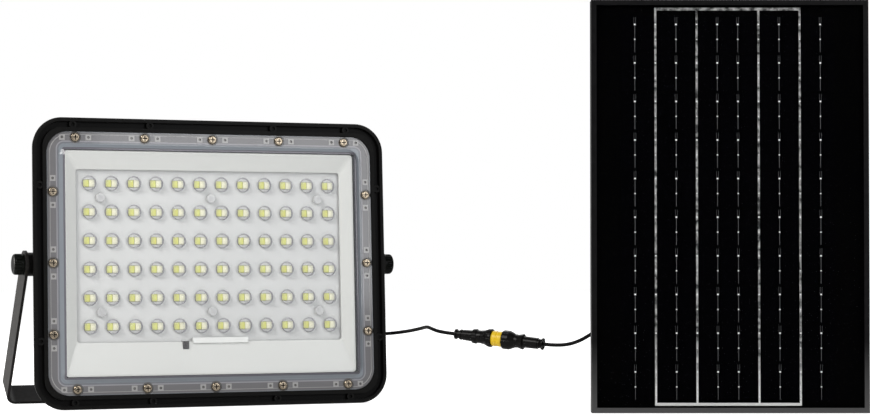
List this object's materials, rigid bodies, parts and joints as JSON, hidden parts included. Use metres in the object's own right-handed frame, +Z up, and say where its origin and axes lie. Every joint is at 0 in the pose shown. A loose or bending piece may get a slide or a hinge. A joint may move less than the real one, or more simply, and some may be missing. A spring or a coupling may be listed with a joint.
{
  "type": "solar flood light",
  "caption": "Rectangular LED flood light head on a tilting U bracket, joined by a short plug-in lead to a framed solar panel on a prop leg.",
  "frame": {"origin": "centre of the footprint of the lamp and panel, on the floor", "axes": "+X from the lamp to the panel, +Y from front to back, +Z up; the panel faces -Y and the lamp's face is turned 22 degrees towards +X"},
  "size_m": [0.7581, 0.2595, 0.35],
  "materials": {
    "aluminium_sheet": "mill finish",
    "backsheet": "black backsheet",
    "bezel": "black ring",
    "bracket_paint": "black powder coat over steel strip",
    "brass": "turned",
    "button": "soft touch, recessed ring",
    "cable": "black jacket",
    "cell": "black silicon",
    "cell_wrap": "blue shrink sleeve",
    "circuit_board": "green solder mask",
    "clear_cover": "clear polycarbonate, polished window, frosted screw band",
    "clear_peg": "clear peg",
    "components": "black epoxy packages",
    "contact": "turned pin",
    "corner_key": "cast key",
    "galvanised": "zinc-plated steel",
    "gland": "black nylon",
    "holder": "black moulded",
    "housing": "fine textured black moulded polymer",
    "junction_plastic": "black moulded",
    "knob": "black moulded, slightly glossy",
    "led_board": "white solder mask on aluminium",
    "led_white": "white LED body",
    "lens": "clear moulded lens",
    "light_bar": "white translucent",
    "panel_frame": "black anodised extrusion",
    "panel_glass": "clear tempered glass",
    "phosphor_cool": "yellow-green phosphor",
    "phosphor_warm": "pale cream phosphor",
    "pivot_steel": "zinc-plated",
    "plug_plastic": "black moulded",
    "ribbon": "tinned copper ribbon",
    "screw_steel": "nickel-plated pan head",
    "seal": "soft black",
    "sensor": "dark tinted epoxy",
    "switch": "black moulded",
    "white_tray": "white, slightly satin",
    "yellow_seal": "yellow silicone"
  },
  "bodies": {
    "lamp_head": {"rear_housing": "housing", "front_cover": "clear_cover", "cover_seal": "seal", "cover_screws": "screw_steel", "reflector_tray": "white_tray", "lens_plate": "lens", "lens_pegs": "clear_peg", "led_board": "led_board", "led_chips_cool": "phosphor_cool", "led_chips_warm": "phosphor_warm", "heat_spreader": "aluminium_sheet", "spreader_hardware": "brass", "ir_receiver": "sensor", "level_light_bar": "light_bar", "level_leds": "led_white", "battery_cells": "cell_wrap", "battery_holder": "holder", "control_board": "circuit_board", "board_components": "components", "rear_gasket": "seal", "rear_cover": "housing", "rear_cover_screws": "pivot_steel", "button_bezel": "bezel", "button_switch": "switch", "gland_body": "gland", "gland_nut": "gland", "pivot_bolts": "pivot_steel", "pivot_washers": "bracket_paint", "lamp_lead": "cable", "plug_cable_nut": "plug_plastic", "plug_body": "plug_plastic", "plug_pins": "contact", "connector_seal": "yellow_seal"},
    "bracket": {"lamp_bracket": "bracket_paint"},
    "left_knob": {"knob_left": "knob"},
    "right_knob": {"knob_right": "knob"},
    "power_button": {"power_button": "button"},
    "coupling_ring": {"coupling_ring": "plug_plastic"},
    "panel": {"frame_top": "panel_frame", "frame_bottom": "panel_frame", "frame_left": "panel_frame", "frame_right": "panel_frame", "corner_keys": "corner_key", "panel_glass": "panel_glass", "solar_cells": "cell", "cell_ribbons": "ribbon", "backsheet": "backsheet", "junction_box": "junction_plastic", "junction_lid": "junction_plastic", "junction_gland": "gland", "cross_bar": "panel_frame", "panel_screws": "pivot_steel", "hinge_bracket": "galvanised", "hinge_bolt": "pivot_steel", "panel_lead": "cable", "socket_body": "plug_plastic", "socket_contacts": "contact", "socket_cable_nut": "plug_plastic"},
    "prop": {"prop_leg": "galvanised"},
    "prop_nut": {"wing_nut": "pivot_steel"}
  },
  "joints": [
    {"name": "bracket_tilt", "type": "hinge", "parent": "lamp_head", "child": "bracket", "pos_m": [-0.19185, -0.01637, 0.12554], "axis": [0.9272, 0.3746, 0], "range_deg": [-11, 140]},
    {"name": "left_knob_turn", "type": "hinge", "parent": "lamp_head", "child": "left_knob", "pos_m": [-0.35133, -0.0808, 0.12554], "axis": [0.9272, 0.3746, 0], "continuous": true},
    {"name": "right_knob_turn", "type": "hinge", "parent": "lamp_head", "child": "right_knob", "pos_m": [-0.03238, 0.04807, 0.12554], "axis": [0.9272, 0.3746, 0], "continuous": true},
    {"name": "power_button_press", "type": "slide", "parent": "lamp_head", "child": "power_button", "axis": [0.3739, -0.9255, 0.061], "range_m": [0, 0.0015], "stiffness_N_per_m": 600},
    {"name": "coupling_ring_turn", "type": "hinge", "parent": "lamp_head", "child": "coupling_ring", "pos_m": [0.05758, -0.04102, 0.06074], "axis": [0.9226, -0.3739, -0.0953], "continuous": true},
    {"name": "plug_release", "type": "slide", "parent": "lamp_head", "child": "panel", "axis": [0.9226, -0.3739, -0.0953], "range_m": [0, 0.03]},
    {"name": "prop_swing", "type": "hinge", "parent": "panel", "child": "prop", "pos_m": [0.2616, -0.0978, 0.222], "axis": [1, 0, 0], "range_deg": [-22, 60]},
    {"name": "wing_nut_turn", "type": "hinge", "parent": "panel", "child": "prop_nut", "pos_m": [0.2816, -0.0978, 0.222], "axis": [1, 0, 0], "continuous": true}
  ]
}
